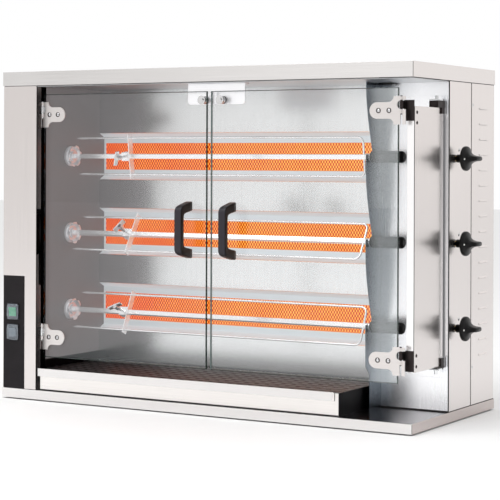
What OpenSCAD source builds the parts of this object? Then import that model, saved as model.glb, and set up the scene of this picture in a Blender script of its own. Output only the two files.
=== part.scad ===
// Counter-top gas rotisserie with three spits, three radiant burners and two glass doors.
// Origin: centre of the body's footprint, on the surface it stands on. +Z up, front faces -Y.

/* [Body] */
// Width over the base tray and the top cover
body_w = 1080; // [1060:1:1100]
// Depth over the base tray and the top cover
body_d = 444; // [436:1:460]
// Height from the resting surface to the top
body_h = 780; // [770:1:800]
// Thickness of the folded steel sheet
sheet_t = 1.5; // [1:0.1:2]
// How far the feet lift the base skirt
foot_lift = 3; // [2:1:6]
// Height of the base tray's floor
base_h = 25; // [22:1:28]
// Height of the top cover's skirt
cover_h = 33; // [28:1:38]

/* [Cooking chamber] */
// Left wall of the chamber, inner face
chamber_left_x = -439; // [-445:1:-436]
// Inner face of the spit support plate
chamber_right_x = 373.5; // [368:0.5:376]
// Back wall of the chamber, front face
chamber_back_y = 33; // [30:1:40]
// Front face of the right housing
housing_y = -31.5; // [-36:0.5:-28]
// Height of the lowest spit
first_row_z = 208; // [206:1:210]
// Distance between spits
row_pitch = 186; // [184:1:187]

/* [Spits] */
// Distance of the spit axes in front of the body's centre
spit_y = -88; // [-90:1:-86]
// Side of the square spit shaft
shaft_s = 10; // [8:1:11]
// Half distance between the two tines of a fork
fork_half = 44; // [40:1:45]
// Diameter of the fork wire
wire_d = 5; // [4:0.5:5]
// Angles at which the three forks stand, lowest spit first
fork_angle = [-23.5, -30, 7.5];
// Place of the locking plates along the spits
lock_x = [-266, -256, -261];
// Angles of the wing screws on their stems
wing_angle = [66, 32, 14];

/* [Doors] */
// Front face of the glass
glass_y = -200; // [-200:1:-199]
// Thickness of the glass
glass_t = 5.5; // [5:0.5:6]
// Lower edge of the glass
glass_z0 = 102.5; // [100:0.5:106]
// Upper edge of the glass
glass_z1 = 726; // [720:1:730]
// Height of the screws of the upper and lower hinge plates
hinge_z = [150.5, 677.8];
// Hinge axis of the left door
left_pivot_x = -438; // [-438:0.5:-437]
// Hinge axis of the right door
right_pivot_x = 504; // [502:1:504]

/* [Drip tray] */
// Height of the tray above the base floor
tray_h = 51; // [45:1:56]
// Depth of the tray
tray_d = 238; // [230:1:240]

/* [Hidden] */

$fn = 48;
gap = 0.2;

// Body outline
hx = body_w / 2;
hy = body_d / 2;
cover_z = body_h - cover_h;
ceiling_z = cover_z - 3;
roof_z = body_h - sheet_t;
inner_x = hx - sheet_t - gap;
inner_y = hy - sheet_t - gap;
row_z = [for (i = [0:2]) first_row_z + i * row_pitch];

// Left column
column_edge_x = chamber_left_x - 2;
wall_front_y = -185;
flange_w = 15;

// Burner channels in the back wall: half heights at the mouth and at the bottom, and depth
channel_mouth = 58;
channel_floor = 47;
channel_y = chamber_back_y + 21;
window_half = 33;
window_x = [chamber_left_x + 5, chamber_right_x - 5.5];
wall_end_y = channel_y + sheet_t;
radiant_y = wall_end_y + gap;
radiant_t = 12;
radiant_half = 36;
burner_back_y = 110;
tube_y = 90;
tube_r = 14;

// Spit support plate: lips and notches of its front edge
lip_y = -107;
notch_y = -76;
notch_r = 7.8;
collar_r = 7.3;
lip_rise = 5;
handle_r = 13;
plate_out_x = chamber_right_x + sheet_t;
handle_x = [plate_out_x + 3.5, plate_out_x + 83];

// Spit and socket
socket_x = [chamber_left_x + gap, chamber_left_x + 15];
tip_x = socket_x[1] - 10;
fork_end_x = 360;
tine_tip_x = -415;
axle_r = 10;
bearing_r = 22;
bearing_l = 14;
sprocket_x = -478;
sprocket_r = 30;

// Wing screw
stem_len = 40;
stem_r = 3.5;
hub_w = 20;
hub_l = 16;
hub_shift = 12;
lock_t = 2;
lock_len = 106;
lock_w = 17;

// Side panels and gas controls
seam_y = 90;
valve_y = 6;
valve_z = [for (z = row_z) z - 3];
knob_r = 27;
spindle_r = 4;
manifold_x = 500;
manifold_y = 70;
manifold_r = 8;
tube_wall = 2.5;
inlet_z = 110;
inlet_r = 10.5;
gland_x = -490;
gland_z = 80;
gland_bore_r = 5;
louvre_y = [136, 180];
louvre_pitch = 34.7;
louvre_z0 = 137;
louvre_count = 17;

// Places of the panel screws
screw_r = 1.9;
screw_hole_r = 2;
seam_screw_y = 98;
seam_screw_z = [110, 697];
rear_screw_x = [-500, -250, 0, 250, 500];
rear_screw_z = [60, 720];
valve_screw = [17, 18.5];
wall_screw = [-105, 716];

// Switches on the label plate
label_x = [-537, -475];
label_z = [26, 294];
label_t = 0.8;
panel_y = -inner_y;
switch_x = -508;
switch_z = [160, 209];
switch_w = 34;
switch_h = 37;
rocker_tilt = 8;
rocker_pin_r = 1.6;
rocker_pivot_y = -220.3 + 2;

// Doors
left_glass_x = [-433.5, 22];
right_glass_x = [33, 496];
door_mid_z = (glass_z0 + glass_z1) / 2;
glass_back_y = glass_y + glass_t;
hinge_t = 2;
pivot_y = glass_y - hinge_t / 2;
pin_r = 2.45;
knuckle_bore_r = 2.5;
knuckle_r = 4;
flare_half = 30;
tongue_half = 17.5;
left_reach = 67;
right_reach = 74.5;
outer_edge = 10;
hinge_screw_u = [21, 45.5];
cut_v = [2, 22];
handle_pos_x = [-25, 90];
handle_w = 18.5;
handle_base_h = 128;
handle_grip_h = 108;
handle_out = 47;
grip_d = 13;
striker_x = [8, 56];
striker_z = 706.5;

// Carrier arm of the right door
arm_x = [510, 527];
arm_y = [-186, -39];
arm_z = [126.5, 687];
arm_pivot = [518.5, -54];
arm_pin_r = 3.95;
arm_bore_r = 4;
arm_ear_t = 3;
arm_wall = 1.2;
strap_x = [510, 531];
strap_y = [arm_pivot[1] - 21, arm_y[1]];
strap_t = [3, 15];
ear_t = 3;
ear_gap = 0.6;
doubler_x = [468, 534];
doubler_z = [[100, 146], [668, 714.5]];
arm_screw_z = [arm_z[0] + 12, arm_z[0] + 35, arm_z[1] - 35, arm_z[1] - 13];

// Catch plate
catch_x = [-38, 112];
catch_z0 = 697;
catch_y = -184;

// Drip tray
tray_x = [-432, 364];
tray_y = -213;
tray_z = base_h + gap;
tray_wall = 1.2;
fold_slit = 0.03;
grate_t = 1.5;
grate_gap = 16;
lip_h = 18;

module box(x, y, z) {
    translate([x[0], y[0], z[0]]) cube([x[1] - x[0], y[1] - y[0], z[1] - z[0]]);
}

module rod_x(x, y, z, r) {
    translate([x[0], y, z]) rotate([0, 90, 0]) cylinder(r = r, h = x[1] - x[0]);
}

module rod_y(x, y, z, r) {
    translate([x, y[0], z]) rotate([-90, 0, 0]) cylinder(r = r, h = y[1] - y[0]);
}

module rod_z(x, y, z, r) {
    translate([x, y, z[0]]) cylinder(r = r, h = z[1] - z[0]);
}

// Screw with a domed head, standing on its own origin with the shank along -Z
module pan_screw(head_r, shank_r, shank_l) {
    difference() {
        union() {
            intersection() {
                translate([0, 0, -head_r]) sphere(r = head_r * 1.42);
                cylinder(r = head_r, h = head_r);
            }
            translate([0, 0, -shank_l]) cylinder(r = shank_r, h = shank_l + 0.1);
        }
        translate([-head_r * 0.55, -0.4, head_r * 0.2]) cube([head_r * 1.1, 0.8, head_r]);
        translate([-0.4, -head_r * 0.55, head_r * 0.2]) cube([0.8, head_r * 1.1, head_r]);
    }
}

// ---- Body shell -------------------------------------------------------------------------

module base_tray() {
    color("gainsboro") difference() {
        box([-hx, hx], [-hy, hy], [foot_lift, base_h]);
        box([-hx + sheet_t, hx - sheet_t], [-hy + sheet_t, hy - sheet_t], [0, base_h - sheet_t]);
    }
}

module rubber_feet() {
    color("dimgray") for (x = [-480, 480], y = [-170, 170])
        rod_z(x, y, [0, base_h - sheet_t], 16);
}

module top_cover() {
    vent_l = 70;
    vent_count = 14;
    color("gainsboro") difference() {
        box([-hx, hx], [-hy, hy], [cover_z, body_h]);
        box([-hx + sheet_t, hx - sheet_t], [-hy + sheet_t, hy - sheet_t], [0, roof_z]);
        for (i = [0:vent_count - 1])
            translate([(i - (vent_count - 1) / 2) * 54, 110, 0])
                box([-4, 4], [0, vent_l], [roof_z - 1, body_h + 1]);
    }
}

module left_front_panel() {
    color("mistyrose") difference() {
        box([-inner_x, column_edge_x], [-inner_y, -inner_y + sheet_t], [base_h, roof_z]);
        for (z = switch_z)
            box([switch_x - 13, switch_x + 13], [-hy, -hy + 5], [z - 14, z + 14]);
    }
}

module left_side_panel() {
    color("lightgray") box([-inner_x, -inner_x + sheet_t],
        [-inner_y + sheet_t + gap, inner_y - sheet_t - gap], [base_h, roof_z]);
}

module rear_panel() {
    color("lightgray") difference() {
        box([-inner_x, inner_x], [inner_y - sheet_t, inner_y], [base_h, roof_z]);
        rod_y(manifold_x, [0, hy + 1], inlet_z, manifold_r + 1.5);
        rod_y(gland_x, [0, hy + 1], gland_z, 10);
        for (x = rear_screw_x, z = rear_screw_z)
            rod_y(x, [0, hy + 1], z, screw_hole_r);
    }
}

module chamber_left_wall() {
    color("gray") difference() {
        union() {
            box([chamber_left_x - sheet_t, chamber_left_x], [wall_front_y, wall_end_y],
                [base_h, ceiling_z]);
            box([chamber_left_x - flange_w, chamber_left_x - sheet_t + 0.1],
                [wall_front_y, wall_front_y + sheet_t], [base_h, ceiling_z]);
        }
        for (z = row_z)
            rod_x([chamber_left_x - 5, chamber_left_x + 5], spit_y, z, axle_r + 1.5);
    }
}

// The wall's section in (y, z): flat between the rows, folded back into a channel at each burner
function wall_line(y, slope) = concat(
    [[y, base_h]],
    [for (z = row_z) each [[y, z - channel_mouth + slope], [y + channel_y - chamber_back_y,
        z - channel_floor + slope], [y + channel_y - chamber_back_y, z + channel_floor - slope],
        [y, z + channel_mouth - slope]]],
    [[y, ceiling_z - gap]]
);

function reversed(list) = [for (i = [len(list) - 1:-1:0]) list[i]];

module chamber_back_wall() {
    x = [chamber_left_x + gap, chamber_right_x - gap];
    color("silver") difference() {
        translate([x[0], 0, 0]) rotate([90, 0, 90]) linear_extrude(x[1] - x[0])
            polygon(concat(wall_line(chamber_back_y, 0),
                reversed(wall_line(chamber_back_y + sheet_t, -sheet_t * 0.7))));
        for (z = row_z)
            box(window_x, [channel_y - 1, wall_end_y + 1], [z - window_half, z + window_half]);
        rod_y(wall_screw[0], [0, hy], wall_screw[1], screw_hole_r);
    }
}

module chamber_ceiling() {
    color("silver") difference() {
        box([chamber_left_x - sheet_t, inner_x - sheet_t - gap], [-inner_y + sheet_t + gap, wall_end_y],
            [ceiling_z, ceiling_z + sheet_t]);
        box([plate_out_x, hx], [housing_y, hy], [ceiling_z - 1, ceiling_z + 3]);
    }
}

// Front edge of the support plate between two spits: it recedes from a lip to the next notch
function edge_y(t) = lip_y + (notch_y - lip_y) * pow(t, 1.5);

module support_outline() {
    steps = 8;
    low = base_h;
    high = ceiling_z - gap;
    levels = concat([low], row_z, [high + 60]);
    difference() {
        polygon(concat(
            [[wall_end_y, high], [wall_end_y, low], [-87, low]],
            [[-87, 96], [-89, 106], [-105, 120]],
            [for (k = [0:2]) each concat(
                [[lip_y, row_z[k] - 22], [lip_y, row_z[k] + lip_rise]],
                [[spit_y - notch_r, row_z[k] + lip_rise], [spit_y - notch_r, row_z[k]]],
                [[spit_y + notch_r, row_z[k]], [spit_y + notch_r, row_z[k] + 3]],
                [for (i = [steps:-1:1]) let (z0 = row_z[k] + 14, z1 = min(row_z[k] + 150, high))
                    [edge_y(i / steps), z0 + (z1 - z0) * (steps - i) / steps]]
            )],
            [[lip_y, high]]
        ));
        for (z = row_z)
            translate([spit_y, z]) circle(r = notch_r);
    }
}

module spit_support_plate() {
    color("slategray") translate([chamber_right_x, 0, 0]) rotate([90, 0, 90])
        linear_extrude(sheet_t) support_outline();
}

// Wall with a doubler behind each ear of the arm
module housing_front_wall() {
    color("whitesmoke") {
        box([plate_out_x + gap, inner_x - 1.8], [housing_y, housing_y + sheet_t],
            [base_h + 1, ceiling_z - gap]);
        for (z = doubler_z)
            box(doubler_x, [housing_y - sheet_t, housing_y + 0.1], z);
    }
}

// ---- Right side: valve panel, louvred panel, gas train ----------------------------------

module side_valve_panel() {
    color("lightgray") difference() {
        box([inner_x - sheet_t, inner_x], [housing_y + sheet_t + gap, seam_y - 0.5],
            [base_h, roof_z]);
        for (z = valve_z)
            rod_x([inner_x - 5, hx], valve_y, z, spindle_r + 3);
        for (z = valve_z)
            rod_x([inner_x - 5, hx], valve_y + valve_screw[0], z + valve_screw[1], screw_hole_r);
    }
}

module side_louvre_panel() {
    color("lightgray") {
        difference() {
            box([inner_x - sheet_t, inner_x], [seam_y + 0.5, inner_y - sheet_t - gap],
                [base_h, roof_z]);
            for (i = [0:louvre_count - 1])
                translate([0, 0, louvre_z0 + i * louvre_pitch])
                    box([inner_x - 5, hx], louvre_y, [-4.5, -1]);
            for (z = seam_screw_z)
                rod_x([inner_x - 5, hx], seam_screw_y, z, screw_hole_r);
        }
        for (i = [0:louvre_count - 1])
            translate([0, louvre_y[1] + 1, louvre_z0 + i * louvre_pitch]) rotate([90, 0, 0])
                linear_extrude(louvre_y[1] - louvre_y[0] + 2)
                    polygon([[inner_x - 0.5, 0], [inner_x, 0.4], [inner_x + 1.6, -4],
                        [inner_x + 0.8, -4], [inner_x - 0.5, -0.8]]);
    }
}

// Round skirt that narrows towards a flat grip, with its spindle
module valve_knob(z) {
    grip_l = 34;
    grip_t = 10.5;
    grip_x = [hx + 27, hx + 53];
    color("black") {
        translate([hx + 1, valve_y, z]) rotate([0, 90, 0]) rotate_extrude() polygon([
            [0, 0], [9, 0], [9, 16], [knob_r - 2, 18], [knob_r, 20], [knob_r, 24.5],
            [knob_r - 2, 27], [19, 29], [14, 33], [10, 39], [8, 45], [0, 45]]);
        box(grip_x, [valve_y - grip_l / 2 + grip_t / 2, valve_y + grip_l / 2 - grip_t / 2],
            [z - grip_t / 2, z + grip_t / 2]);
        for (s = [-1, 1])
            rod_x(grip_x, valve_y + s * (grip_l / 2 - grip_t / 2), z, grip_t / 2);
        rod_x([hx - 22, hx + 1.1], valve_y, z, spindle_r);
    }
}

module bottom_knob() valve_knob(valve_z[0]);
module middle_knob() valve_knob(valve_z[1]);
module top_knob() valve_knob(valve_z[2]);

module gas_valves() {
    back_x = 482;
    front_x = inner_x - sheet_t - gap;
    color("goldenrod") for (z = valve_z) difference() {
        union() {
            box([back_x, front_x - 12], [valve_y - 12, valve_y + 12], [z - 12, z + 12]);
            rod_x([front_x - 12.1, front_x], valve_y, z, 9);
            rod_y(manifold_x, [valve_y + 11.9, manifold_y - manifold_r - gap], z, 5);
            rod_y(back_x + 5, [valve_y + 11.9, tube_y + 5], z, 4);
            rod_x([445 + gap, back_x + 5], tube_y, z, 4);
        }
        rod_x([hx - 24, hx], valve_y, z, spindle_r + 0.05);
    }
}

module gas_manifold() {
    thread_l = 16;
    flange_l = 4;
    flange_r = 15;
    flange_y = inner_y + gap;
    color("silver") difference() {
        union() {
            rod_z(manifold_x, manifold_y, [inlet_z - 12, row_z[2] + 30], manifold_r);
            for (z = valve_z)
                rod_z(manifold_x, manifold_y, [z - 12, z + 12], manifold_r + 0.1);
            rod_y(manifold_x, [manifold_y, flange_y + 1], inlet_z, manifold_r);
            rod_y(manifold_x, [flange_y, flange_y + flange_l], inlet_z, flange_r);
            rod_y(manifold_x, [flange_y + 1, flange_y + flange_l + thread_l], inlet_z, inlet_r);
        }
        rod_y(manifold_x, [manifold_y, hy + 40], inlet_z, manifold_r - tube_wall);
        rod_z(manifold_x, manifold_y, [inlet_z, row_z[2] + 25], manifold_r - tube_wall);
    }
}

module burner_housings() {
    x = [chamber_left_x + 3, chamber_right_x - 3.5];
    mouth_y = radiant_y + radiant_t;
    half = radiant_half + 2;
    color("lightslategray") for (i = [0:2]) let (z = row_z[i], zt = valve_z[i]) difference() {
        union() {
            box(x, [mouth_y, burner_back_y], [z - half, z + half]);
            rod_x([x[1] - 2, 445], tube_y, zt, tube_r);
        }
        box([x[0] + sheet_t, x[1] - sheet_t], [mouth_y - 1, burner_back_y - sheet_t],
            [z - half + sheet_t, z + half - sheet_t]);
        rod_x([x[1] - 5, 440], tube_y, zt, tube_r - 1.5);
        rod_x([430, 446], tube_y, zt, 1);
        for (a = [0, 90])
            translate([425, tube_y, zt]) rotate([a, 0, 0]) box([-6, 6], [-20, 20], [-5, 5]);
    }
}

module radiant_plates() {
    color("orangered") for (z = row_z)
        box([chamber_left_x + 3, chamber_right_x - 3.5], [radiant_y, radiant_y + radiant_t],
            [z - radiant_half, z + radiant_half]);
}

// ---- Controls on the left column ---------------------------------------------------------

module label_plate() {
    color("black") difference() {
        box(label_x, [panel_y - label_t, panel_y], label_z);
        for (z = switch_z)
            box([switch_x - 13, switch_x + 13], [-hy - 5, -hy + 5], [z - 14, z + 14]);
    }
}

module switch_bodies() {
    frame_y = panel_y - label_t;
    color("darkslategray") for (z = switch_z) difference() {
        union() {
            box([switch_x - switch_w / 2, switch_x + switch_w / 2], [frame_y - 2.5, frame_y],
                [z - switch_h / 2, z + switch_h / 2]);
            box([switch_x - 12.8, switch_x + 12.8], [frame_y - 0.1, frame_y + 24],
                [z - 13.8, z + 13.8]);
        }
        box([switch_x - 11, switch_x + 11], [frame_y - 5, frame_y + 12], [z - 12, z + 12]);
        rod_x([switch_x - 12, switch_x + 12], rocker_pivot_y, z, rocker_pin_r + 0.05);
    }
}

// Rocker whose face is a shallow V, tilted to its rest side, with its two pivot pins
module rocker(z) {
    face_y = rocker_pivot_y - 7.3;
    back_y = rocker_pivot_y + 2;
    pivot = [0, rocker_pivot_y, z];
    translate(pivot) rotate([rocker_tilt, 0, 0]) translate(-pivot) {
        translate([switch_x - 10.5, 0, z]) rotate([90, 0, 90]) linear_extrude(21)
            polygon([[face_y, -10.5], [face_y + 1.2, 0], [face_y, 10.5], [back_y, 9],
                [back_y + 2, 0], [back_y, -9]]);
        rod_x([switch_x - 11.8, switch_x + 11.8], rocker_pivot_y, z, rocker_pin_r);
    }
}

module motor_rocker() color("mediumseagreen") rocker(switch_z[1]);
module lamp_rocker() color("lightslategray") rocker(switch_z[0]);

// ---- Doors ------------------------------------------------------------------------------

module door_glass(x, pivot_x, reach, side, striker) {
    difference() {
        box(x, [glass_y, glass_back_y], [glass_z0, glass_z1]);
        for (z = hinge_z, u = hinge_screw_u)
            rod_y(pivot_x + side * (reach - u), [glass_y - 1, glass_back_y + 1], z, 4);
        rod_y(striker, [glass_y - 1, glass_back_y + 1], striker_z, 4);
    }
}

module left_glass() color("lightcyan", 0.4)
    door_glass(left_glass_x, left_pivot_x, left_reach, 1, striker_x[0]);

module right_glass() color("lightcyan", 0.4)
    door_glass(right_glass_x, right_pivot_x, right_reach, -1, striker_x[1]);

// Bridge handle: the outline is drawn in (y, z) and extruded across its width
module door_handle(x) {
    base = handle_base_h / 2;
    grip = handle_grip_h / 2;
    leg = 17;
    front = glass_y - handle_out;
    color("black") difference() {
        translate([x - handle_w / 2, 0, door_mid_z]) rotate([90, 0, 90])
            linear_extrude(handle_w) difference() {
                polygon([[glass_y, -base], [glass_y, base], [front + 14, grip + 5],
                    [front + 4, grip], [front, grip - 8], [front, 8 - grip],
                    [front + 4, -grip], [front + 14, -grip - 5]]);
                polygon([[glass_y + 1, leg - base], [glass_y + 1, base - leg],
                    [front + grip_d + 4, grip - 15], [front + grip_d, grip - 20],
                    [front + grip_d, 20 - grip], [front + grip_d + 4, 15 - grip]]);
            }
        for (s = [-1, 1])
            rod_y(x, [glass_y - 12, glass_y + 1], door_mid_z + s * (base - leg / 2), 2.5);
    }
}

module left_handle() door_handle(handle_pos_x[0]);
module right_handle() door_handle(handle_pos_x[1]);

// Outline of a stamped hinge plate: u runs from the pivot along the door, v is height
module hinge_outline(reach) {
    fillet = flare_half - tongue_half;
    flare_u = 18;
    difference() {
        union() {
            translate([-outer_edge, -flare_half])
                square([flare_u + outer_edge, 2 * flare_half]);
            translate([0, -tongue_half]) square([reach - tongue_half, 2 * tongue_half]);
            translate([reach - tongue_half, 0]) circle(r = tongue_half);
            for (s = [-1, 1]) difference() {
                translate([flare_u - 0.1, s > 0 ? tongue_half - 0.1 : -flare_half])
                    square([fillet, fillet + 0.1]);
                translate([flare_u + fillet, s * flare_half]) circle(r = fillet);
            }
        }
        translate([-outer_edge - 1, cut_v[0]])
            square([outer_edge + 1, cut_v[1] - cut_v[0]]);
        translate([0, (cut_v[0] + cut_v[1]) / 2]) circle(d = cut_v[1] - cut_v[0]);
    }
}

module hinge_plate(pivot_x, reach, side, z) {
    translate([pivot_x, pivot_y, z]) mirror([side > 0 ? 0 : 1, 0, 0]) difference() {
        union() {
            translate([0, hinge_t / 2, 0]) rotate([90, 0, 0])
                linear_extrude(hinge_t) hinge_outline(reach);
            rod_z(0, 0, [-7, cut_v[0]], knuckle_r);
            rod_z(0, 0, [cut_v[1], flare_half - 1], knuckle_r);
        }
        rod_z(0, 0, [-flare_half - 1, flare_half + 1], knuckle_bore_r);
        for (u = hinge_screw_u)
            rod_y(reach - u, [-5, 5], 0, 2.6);
    }
}

module left_hinge_plates() color("mistyrose") for (z = hinge_z)
    hinge_plate(left_pivot_x, left_reach, 1, z);

module right_hinge_plates() color("mistyrose") for (z = hinge_z)
    hinge_plate(right_pivot_x, right_reach, -1, z);

// Knuckle with its pin, joined by a web to a base plate at base_y
module pintle(pivot_x, web_x, base_x, base_y, base_half) {
    knuckle_v = [cut_v[0] + 1.6, cut_v[1] - 1.6];
    translate([pivot_x, pivot_y, 0]) {
        rod_z(0, 0, knuckle_v, knuckle_r);
        rod_z(0, 0, [-9, flare_half + 1], pin_r);
    }
    box(web_x, [pivot_y, base_y[1] - 0.5], knuckle_v);
    box(base_x, base_y, [-base_half, base_half]);
}

module left_hinge_brackets() {
    back = wall_front_y;
    color("gray") for (z = hinge_z)
        translate([0, 0, z]) pintle(left_pivot_x, [left_pivot_x - 3.5, left_pivot_x - 0.5],
            [chamber_left_x - flange_w, chamber_left_x - 0.5], [back - 2, back], flare_half);
}

// Strap across one end of the arm, with a leg down the arm's outer face
module arm_strap(z, leg_z) {
    box(strap_x, strap_y, z);
    box([arm_x[1], arm_x[1] + 3.5], [strap_y[1] - 14, strap_y[1]], leg_z);
}

module arm_hinge_fittings() {
    front = arm_y[0];
    color("dimgray") {
        for (z = hinge_z)
            translate([0, 0, z]) pintle(right_pivot_x, [right_pivot_x - 0.5, right_pivot_x + 3],
                [right_pivot_x - 0.5, arm_x[1]], [front - 2, front], 22);
        difference() {
            union() {
                arm_strap([arm_z[0] - strap_t[0], arm_z[0]], [arm_z[0] - strap_t[0], arm_z[0] + 18]);
                arm_strap([arm_z[1], arm_z[1] + strap_t[1]], [arm_z[1] - 13, arm_z[1] + strap_t[1]]);
            }
            rod_z(arm_pivot[0], arm_pivot[1], [0, body_h], arm_bore_r);
        }
    }
    color("silver") for (z = arm_screw_z)
        translate([arm_x[1], front + 13, z]) rotate([0, 90, 0]) pan_screw(4, screw_r, 8);
}

module carrier_arm() {
    inside = [arm_x[0] + arm_wall, arm_x[1] - arm_wall];
    y = [arm_y[0] + arm_wall + fold_slit, arm_y[1]];
    color("rosybrown") difference() {
        union() {
            box(arm_x, [arm_y[0], arm_y[0] + arm_wall], arm_z);
            box([arm_x[0], inside[0]], y, arm_z);
            box([inside[1], arm_x[1]], y, arm_z);
            for (z = [[arm_z[0], arm_z[0] + arm_ear_t], [arm_z[1] - arm_ear_t, arm_z[1]]])
                box([inside[0] + fold_slit, inside[1] - fold_slit], y, z);
        }
        rod_z(arm_pivot[0], arm_pivot[1], [0, body_h], arm_bore_r);
        for (z = arm_screw_z)
            rod_x([arm_x[1] - 3, arm_x[1] + 3], arm_y[0] + 13, z, screw_hole_r);
    }
}

// Ear on the housing wall with the bolt that reaches through the strap into the arm
module pivot_ear(strap_end, up, reach, tail) {
    x = [strap_x[0] - 4, strap_x[1]];
    y = [arm_pivot[1] - 12, housing_y - sheet_t];
    near = strap_end + up * ear_gap;
    far = near + up * ear_t;
    tip = strap_end - up * reach;
    end = far + up * tail;
    box(x, y, [min(near, far), max(near, far)]);
    rod_z(arm_pivot[0], arm_pivot[1], [min(tip, end), max(tip, end)], arm_pin_r);
}

module arm_brackets() {
    color("silver") {
        pivot_ear(arm_z[1] + strap_t[1], 1, strap_t[1] + arm_ear_t + 1, 8);
        pivot_ear(arm_z[0] - strap_t[0], -1, strap_t[0] + arm_ear_t + 1, 10);
    }
}

module catch_plate() {
    corner = 8;
    color("whitesmoke") difference() {
        union() {
            box(catch_x, [catch_y, catch_y + sheet_t], [catch_z0 + corner, ceiling_z - gap]);
            box([catch_x[0] + corner, catch_x[1] - corner], [catch_y, catch_y + sheet_t],
                [catch_z0, ceiling_z - 10]);
            for (x = [catch_x[0] + corner, catch_x[1] - corner])
                rod_y(x, [catch_y, catch_y + sheet_t], catch_z0 + corner, corner);
            box(catch_x, [catch_y, catch_y + 18], [ceiling_z - gap - sheet_t, ceiling_z - gap]);
        }
        for (x = striker_x)
            rod_y(x, [catch_y - 1, catch_y + 4], striker_z, 2);
    }
}

module door_magnets() {
    color("dimgray") for (x = striker_x) {
        rod_y(x, [catch_y - 6, catch_y], striker_z, 9);
        rod_y(x, [catch_y - 0.1, catch_y + 4], striker_z, 1.9);
    }
}

module door_screws(pivot_x, reach, side, striker, handle) {
    color("silver") {
        for (z = hinge_z, u = hinge_screw_u)
            translate([pivot_x + side * (reach - u), glass_y - hinge_t, z])
                rotate([90, 0, 0]) pan_screw(4, 2.5, hinge_t + glass_t + 6);
        for (z = hinge_z, u = hinge_screw_u)
            translate([pivot_x + side * (reach - u), 0, z]) difference() {
                rod_y(0, [glass_back_y, glass_back_y + 4], 0, 7);
                rod_y(0, [glass_back_y - 1, glass_back_y + 5], 0, 2.5);
            }
        rod_y(striker, [glass_y - 1.6, glass_y], striker_z, 10);
        rod_y(striker, [glass_y - 4.6, glass_y - 1.5], striker_z, 5.5);
        rod_y(striker, [glass_y - 0.1, glass_back_y + 0.1], striker_z, 3.9);
        rod_y(striker, [glass_back_y, catch_y - 6.4], striker_z, 9);
    }
}

module left_door_screws() door_screws(left_pivot_x, left_reach, 1, striker_x[0]);
module right_door_screws() door_screws(right_pivot_x, right_reach, -1, striker_x[1]);

// ---- Spits ------------------------------------------------------------------------------

// Places children at spit i, with the fork's plane turned to that spit's angle
module at_spit(i) {
    translate([0, spit_y, row_z[i]]) rotate([fork_angle[i], 0, 0]) children();
}

module spit(i) {
    bend = 14;
    w = wire_d / 2;
    s = shaft_s / 2;
    color("whitesmoke") at_spit(i) {
        box([tip_x + 4, handle_x[0] + 70], [-s, s], [-s, s]);
        translate([tip_x, 0, 0]) rotate([0, 90, 0]) rotate([0, 0, 45])
            cylinder(r1 = 2, r2 = s * sqrt(2), h = 4.1, $fn = 4);
        difference() {
            rod_x([chamber_right_x - 9, handle_x[0]], 0, 0, collar_r);
            box([chamber_right_x - 10, handle_x[0] + 1], [-s, s], [-s, s]);
        }
        for (side = [-1, 1]) {
            rod_x([tine_tip_x + 12, fork_end_x - bend], 0, side * fork_half, w);
            translate([tine_tip_x, 0, side * fork_half]) rotate([0, 90, 0])
                cylinder(r1 = 0.6, r2 = w, h = 12);
            translate([fork_end_x - bend, 0, side * (fork_half - bend)]) rotate([90, 0, 0])
                rotate([0, 0, side > 0 ? 0 : -90]) rotate_extrude(angle = 90)
                    translate([bend, 0]) circle(r = w);
            rod_z(fork_end_x, 0, side > 0 ? [s, fork_half - bend] : [bend - fork_half, -s], w);
        }
    }
}

module bottom_spit() spit(0);
module middle_spit() spit(1);
module top_spit() spit(2);

module spit_handle(i) {
    l = handle_x[1] - handle_x[0];
    s = shaft_s / 2 + 0.01;
    color("black") at_spit(i) difference() {
        translate([handle_x[0], 0, 0]) rotate([0, 90, 0]) rotate_extrude() polygon([
            [0, 0], [handle_r - 2, 0], [handle_r, 2], [handle_r, l - 5], [handle_r - 2, l - 1.5],
            [handle_r - 5, l], [0, l]]);
        box([handle_x[0] - 1, handle_x[0] + 70], [-s, s], [-s, s]);
    }
}

module bottom_spit_handle() spit_handle(0);
module middle_spit_handle() spit_handle(1);
module top_spit_handle() spit_handle(2);

// Cross plate that slides on the shaft and the tines, with the hub for its wing screw
module locking_plate(i) {
    s = shaft_s / 2 + 0.1;
    x = lock_x[i];
    color("gray") at_spit(i) difference() {
        union() {
            box([x, x + lock_t], [-lock_w / 2, lock_w / 2], [-lock_len / 2, lock_len / 2]);
            box([x - hub_shift - hub_l / 2, x + 0.1], [-hub_w / 2, hub_w / 2],
                [-hub_w / 2, hub_w / 2]);
        }
        box([x - 50, x + 50], [-s, s], [-s, s]);
        for (side = [-1, 1])
            rod_x([x - 1, x + lock_t + 1], 0, side * fork_half, wire_d / 2 + 0.3);
        rod_y(x - hub_shift, [-hub_w, 0], 0, stem_r + 0.05);
    }
}

module bottom_locking_plate() locking_plate(0);
module middle_locking_plate() locking_plate(1);
module top_locking_plate() locking_plate(2);

module wing_screw(i) {
    tip = shaft_s / 2 + 0.3;
    wing_l = 34;
    wing_h = 13;
    color("silver") at_spit(i) translate([lock_x[i] - hub_shift, 0, 0]) {
        rod_y(0, [-stem_len, -tip], 0, stem_r);
        rod_y(0, [-stem_len - 4, -stem_len + 12], 0, 5.5);
        translate([0, -stem_len, 0]) rotate([0, wing_angle[i], 0]) rotate([90, 0, 0])
            translate([0, 0, -4]) difference() {
                linear_extrude(wing_h) square([3, wing_l], center = true);
                for (s = [-1, 1])
                    translate([-5, s * wing_l / 2, 0]) rotate([s * -30, 0, 0])
                        translate([0, s > 0 ? 0 : -20, -20]) cube([10, 20, 40]);
            }
    }
}

module bottom_wing_screw() wing_screw(0);
module middle_wing_screw() wing_screw(1);
module top_wing_screw() wing_screw(2);

// ---- Drive ------------------------------------------------------------------------------

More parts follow.
